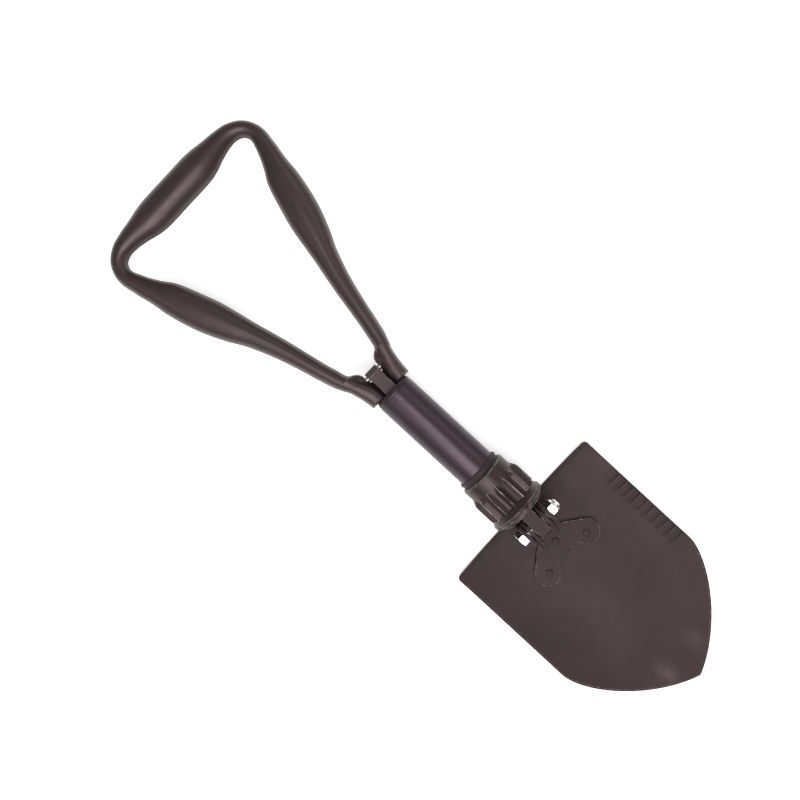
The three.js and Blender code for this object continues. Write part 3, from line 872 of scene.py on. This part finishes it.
def keep_hollows_dark(obj):
    """Takes the edge wear off the walls between the ground hollows."""
    x, y = plan_of(obj)
    wear_and_sheen = np.zeros(len(x), np.float32)
    stored = obj.data.attributes["wear_and_sheen"].data
    stored.foreach_get("value", wear_and_sheen)
    s = SERRATIONS
    end = s["first"] + s["count"] * s["pitch"]
    inside = (y > BLADE["half"] - s["length"] - 1) & (y < BLADE["half"] - 0.9)
    wear_and_sheen[inside & (x > s["first"] - s["pitch"]) & (x < end)] = 0
    stored.foreach_set("value", wear_and_sheen)


def mark_sheen_and_pale(obj):
    """Stores how much the blade's front is painted lighter at each point: painted highlights at the tip,
    pale patches elsewhere.
    """
    x, y = plan_of(obj)
    lightened = np.zeros(len(x), np.float32)
    for cx, cy, along, across, strength in SHEEN_AND_PALE_PATCHES:
        lightened += strength * np.exp(-(((x - cx) / along) ** 2) - ((y - cy) / across) ** 2)
    obj.data.attributes.new("sheen_and_pale", "FLOAT", "POINT").data.foreach_set("value", np.minimum(lightened, 1))


def ramp(depth, distance, width):
    """A depth that falls in a straight line to nothing over a width."""
    return depth * max(0.0, 1 - distance / width)


def front_height(x, y, edge):
    """Height of the front: the dish, the rolled hem, its crease, the ground edge and the hollows."""
    inset = x - BLADE["top"]
    lift = math.sqrt(max(0, HEM**2 - (inset - HEM) ** 2)) if inset < 2 * HEM else 0
    reached = min(1.0, max(0.0, (x - EDGE["start"]) / EDGE["runout"]))
    ground = ramp(EDGE["depth"], edge, EDGE["width"]) * reached
    crease = CREASE["depth"] * math.exp(-(((inset - CREASE["place"]) / CREASE["half"]) ** 2))
    return dish(x, y) + lift - ground - crease - serration(x, y)


def back_height(x, y, edge):
    """Height of the back: the dish with its outline's corner, the rivets' dimples and the hem's tuck."""
    at_rivet = any(math.hypot(x - rx, y - ry) < DIMPLE["radius"] for rx, ry in RIVETS.values())
    dimple = DIMPLE["depth"] if at_rivet else 0
    corner = ramp(CORNER["depth"], edge, CORNER["width"])
    return dish(x, y) - SHEET + corner + dimple + ramp(TUCK["depth"], x - BLADE["top"], TUCK["width"])


def blade():
    """The blade as rows from its hem to its tip, each once across the front and back again."""
    outline = shoulder_curve()
    rows = blade_rows()
    across_count = 2 * len(ACROSS) - 1
    ring = 2 * across_count
    verts = []
    for x in rows:
        half = half_width(x)
        side = [half - offset * half / BLADE["half"] for offset in ACROSS]
        front, back = [], []
        for y in side + [-y for y in reversed(side[:-1])]:
            edge = edge_distance(x, y, outline)
            front.append((x, y, front_height(x, y, edge)))
            back.append((x, y, back_height(x, y, edge)))
        verts += front + back[::-1]
    faces = grid_faces(len(rows), ring, False, True)
    for row in (0, len(rows) - 1):
        for j in range(across_count - 1):
            a = row * ring + j
            b = row * ring + ring - 1 - j
            faces.append((a, a + 1, b - 1, b))
    obj = make("blade_sheet", verts, faces, 24)
    mark_sheen_and_pale(obj)
    dress(obj, STEEL_COAT, "blade", ["blade"])
    keep_hollows_dark(obj)
    return obj


# ---------------------------------------------------------------- hinge bracket

PLATE = 2.5
PLATE_TOP = local_box("hinge_bracket")[0].z + PLATE
ARM = dict(x=202.5, y=24.4, radius=11.4)  # the rounded end of each side arm
EAR_RADIUS = 12.5
OUTER_EAR, INNER_EAR = (10.9, 13.9), (7.0, 9.4)  # near and far faces, from the middle


def bracket_plan():
    """The plate's outline: a neck as wide as the ears, then an arm to each side."""
    neck = OUTER_EAR[1]
    half = [(152, neck), (180.1, neck)] + arc(ARM["x"], ARM["y"], ARM["radius"], 142, -58, 40)
    half += [(204.4, 12.6), (202.9, 11.6), (202.1, 9.6)]
    return half + [(x, -y) for x, y in reversed(half)]


def ear_outline(bottom):
    """An ear seen from the side: round about the bolt, with a foot that flares towards the tip."""
    x = BLADE_PIVOT
    foot = [(x - 8, bottom), (x - EAR_RADIUS, -22)]
    head = arc(x, 0, EAR_RADIUS, 180, 0, 40)
    flare = [(x + EAR_RADIUS, -18), (x + 14.5, -21.5), (x + 19.2, -25.3)]
    flare += [(x + 25.7, -25.9), (x + 26.5, bottom)]
    return foot + head + fillet(flare, 2.0, 5, closed=False)[1:]


def ear_pair(name, faces, bottom):
    pair = []
    for side in (1, -1):
        near, far = sorted(side * y for y in faces)
        ear = slab(name, ear_outline(bottom), near, far, "XZ")
        pair.append(bevelled(ear, 0.55, 4))
    return pair


def hinge_bracket():
    """The plate on the blade's front and the outer ears that stand on it."""
    base = slab("bracket_plate", bracket_plan(), PLATE_TOP - PLATE, PLATE_TOP)
    bevelled(base, 0.7, 3)
    boolean(base, ear_pair("outer_ear", OUTER_EAR, PLATE_TOP - 0.8), "UNION")
    boolean(base, [pivot_hole(BLADE_PIVOT, BOLT_HOLE)], "DIFFERENCE")
    shade(base, 35)
    return dress(base, STEEL_COAT, "blade", ["hinge_bracket"])


def bracket_saddle():
    """The web between the outer ears and the inner ears that stand on it."""
    bottom, half = PLATE_TOP + 0.3, 9.3
    near, far = BLADE_PIVOT - 8, BLADE_PIVOT + 14
    plan = [(near, -half), (far, -half), (far, half), (near, half)]
    web = bevelled(slab("saddle_web", plan, bottom, bottom + 2.2), 0.3)
    boolean(web, ear_pair("inner_ear", INNER_EAR, bottom), "UNION")
    boolean(web, [pivot_hole(BLADE_PIVOT, BOLT_HOLE)], "DIFFERENCE")
    shade(web, 35)
    return dress(web, STEEL_COAT, "blade", ["bracket_saddle"])


def rivet(node, place):
    """A rivet: flat in the dimple behind, and a low cupped head in front."""
    back, top = FRONT - SHEET, PLATE_TOP + 0.02
    profile = [
        (back, 0),
        (back, 3.2, 0.3),
        (back + 0.5, 3.2, 0.1),
        (back + 0.7, 2.4, 0.1),
        (top, 2.4, 0.05),
        (top, 3.4, 0.15),
        (top + 0.35, 3.3, 0.3),
        (top + 0.9, 2.5, 0.9),
        (top + 1.2, 1.2, 0.6),
        (top + 1.0, 0.7, 0.3),
        (top + 1.0, 0),
    ]
    obj = turned(node + "_head", profile, 0.2, 72, "Z", (place[0], place[1], 0))
    return dress(obj, STEEL_COAT, "blade", [node])


# ---------------------------------------------------------------- hinge hardware

FLATS = 13.0  # across the hexagons
# A chamfer starts at a share of the flats' half and widens by its slope, in steps along the axis.
CHAMFER = dict(least=0.96, slope=1.9, step=0.3, steps=6)
SHANK = 4.0
WASHER_FACE = 6.0


def hex_piece(name, start, end, tail, chamfer_start=True, chamfer_end=True):
    """A chamfered hexagon along Y, closed by the tail: more (y, radius) stations to the axis."""
    segments, apothem = 96, FLATS / 2
    least, slope = apothem * CHAMFER["least"], CHAMFER["slope"]
    steps = [CHAMFER["step"] * k for k in range(CHAMFER["steps"])]
    levels = []
    for y in sorted({start + step for step in steps} | {end - step for step in steps}):
        limit = 99.0  # wider than the hexagon's corners
        if chamfer_start:
            limit = min(limit, least + (y - start) * slope)
        if chamfer_end:
            limit = min(limit, least + (end - y) * slope)
        levels.append((y, limit, True))
    stations = [(start, 0.0, False)] + levels + [(y, r, False) for y, r in tail]
    verts = []
    for y, limit, is_hex in stations:
        for j in range(segments):
            angle = 2 * math.pi * j / segments
            wrapped = angle % (math.pi / 3) - math.pi / 6
            r = min(limit, apothem / math.cos(wrapped)) if is_hex else limit
            verts.append((BLADE_PIVOT + r * math.cos(angle), y, r * math.sin(angle)))
    return make(name, verts, grid_faces(len(stations), segments, False, True), 22)


def thread(start, end, radius, pitch=1.25, depth=0.55):
    """Stations of a threaded length, ridge after groove."""
    ridge = [(0, 0), (0.15, 0), (0.55, depth), (0.95, 0)]  # share of the pitch, depth
    out, y = [], start
    while y + pitch < end:
        out += [(y + pitch * along, radius - under) for along, under in ridge]
        y += pitch
    return out


def pivot_bolt():
    """The bolt: hexagon head, plain shank and threaded end."""
    under, tip, threaded = -14.3, 24.3, 3.95
    tail = [(under, WASHER_FACE), (under, SHANK), (14.0, SHANK)]
    tail += thread(14.2, 23.6, threaded)
    tail += [(23.7, threaded), (tip, 3.35), (tip, 0)]
    obj = hex_piece("bolt_hex", under - 5.5, under - 0.01, tail, True, False)
    return dress(obj, BRIGHT_ZINC, "blade", ["pivot_bolt"])


def lock_nut():
    """The nut: a hexagon and the round crown that holds its nylon ring."""
    start, shoulder, crown = 14.3, 20.6, 22.0
    inside = crown - 0.6
    tail = [(shoulder, WASHER_FACE), (shoulder + 0.2, 5.85), (inside, 5.8), (crown - 0.15, 5.6)]
    tail += [(crown, 5.3), (crown - 0.1, 5.0), (crown - 0.5, 4.7), (inside, 4.2), (inside, 0)]
    obj = hex_piece("nut_hex", start, shoulder - 0.01, tail)
    return dress(obj, BRIGHT_ZINC, "blade", ["lock_nut", "nut_insert"])


# ---------------------------------------------------------------- pieces left as CAD made them


def carried_over():
    """The inner pieces keep their CAD shape and only get a finish."""
    finishes = {
        "tie_rod": PLAIN_STEEL,
        "handle_roll_pin": PLAIN_STEEL,
        "tongue_roll_pin": PLAIN_STEEL,
        "guide_bush": GRIP_NYLON,
        "collar_insert": BRASS,
        "handle_pivot_pin": PLAIN_STEEL,
        "knuckle_bush_left": PLAIN_STEEL,
        "knuckle_bush_right": PLAIN_STEEL,
        "friction_washer_left": OILED_STEEL,
        "friction_washer_right": OILED_STEEL,
        "ear_spacer_left": OILED_STEEL,
        "ear_spacer_right": OILED_STEEL,
    }
    for node, material in finishes.items():
        dress(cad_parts[node], material)


# ---------------------------------------------------------------- studio

CAMERA_HEIGHT = 675.0  # above the shaft's axis
CAMERA_FOOT = (-9.8, -1.2)  # the point straight below the camera
FRAME_CENTRE = (9.7, -1.3)  # the point of the axis plane in the middle of the frame
CAMERA_ROLL = math.radians(42.65)
SENSOR = 36.0
FRAME_WIDTH = 652.0  # width of view across the shaft's axis plane
FLOOR_HALF = 4.0  # metres
FLOOR_DROP = 0.0004  # metres, so that the floor and the blade's back don't share a plane
ROOM_LIGHT = 0.38


def camera():
    """The camera above the shovel, shifted so that its film stays level with the floor."""
    data = bpy.data.cameras.new("camera")
    data.sensor_width = SENSOR
    data.lens = SENSOR * CAMERA_HEIGHT / FRAME_WIDTH
    data.clip_end = 50
    right = Vector((math.cos(CAMERA_ROLL), math.sin(CAMERA_ROLL), 0))
    up = Vector((-right.y, right.x, 0))
    offset = Vector((*FRAME_CENTRE, 0)) - Vector((*CAMERA_FOOT, 0))
    data.shift_x = offset.dot(right) / FRAME_WIDTH
    data.shift_y = offset.dot(up) / FRAME_WIDTH
    obj = bpy.data.objects.new("camera", data)
    bpy.context.scene.collection.objects.link(obj)
    eye = Vector((*CAMERA_FOOT, CAMERA_HEIGHT)) * MM + ORIGIN
    turned_to = Matrix((right, up, Vector((0, 0, 1)))).transposed().to_4x4()
    obj.matrix_world = Matrix.Translation(eye) @ turned_to
    bpy.context.scene.camera = obj


def softbox(name, place, target, size, power):
    """A rectangular light at a place, turned towards its target, in metres and watts."""
    data = bpy.data.lights.new(name, "AREA")
    data.shape = "RECTANGLE"
    data.size, data.size_y = size
    data.energy = power
    obj = bpy.data.objects.new(name, data)
    bpy.context.scene.collection.objects.link(obj)
    obj.location = place
    obj.rotation_euler = (Vector(place) - Vector(target)).to_track_quat("Z", "Y").to_euler()


def studio():
    """The glowing floor, four softboxes and an even room."""
    mesh = bpy.data.meshes.new("floor")
    corners = [(-1, -1), (1, -1), (1, 1), (-1, 1)]
    points = [(x * FLOOR_HALF, y * FLOOR_HALF, -FLOOR_DROP) for x, y in corners]
    mesh.from_pydata(points, [], [(0, 1, 2, 3)])
    floor = bpy.data.objects.new("floor", mesh)
    bpy.context.scene.collection.objects.link(floor)
    floor.data.materials.append(studio_floor("studio_floor"))
    softbox("overhead", (-0.06, -0.02, 1.3), (-0.06, 0, 0), (0.35, 0.35), 3.2)
    softbox("key", (0.55, -0.50, 1.45), (0, 0, 0), (1.1, 1.1), 21)
    softbox("side_near", (-0.05, -1.25, 1.15), (0, 0, 0), (1.8, 0.8), 4)
    softbox("side_far", (-0.05, 1.25, 1.15), (0, 0, 0), (1.8, 0.8), 5)
    world = bpy.data.worlds.new("world")
    world.use_nodes = True
    background = world.node_tree.nodes["Background"]
    background.inputs["Color"].default_value = (1, 1, 1, 1)
    background.inputs["Strength"].default_value = ROOM_LIGHT
    bpy.context.scene.world = world
    bpy.context.scene.view_settings.view_transform = "Standard"


# ---------------------------------------------------------------- assembly

shaft_tube()
end_bush()
collar_skin()
thrust_ring()
dust_seal()
handle_block()
hinge_tongue()
handle_frame()
blade()
hinge_bracket()
bracket_saddle()
for rivet_node, rivet_place in RIVETS.items():
    rivet(rivet_node, rivet_place)
pivot_bolt()
lock_nut()
carried_over()
studio()
camera()
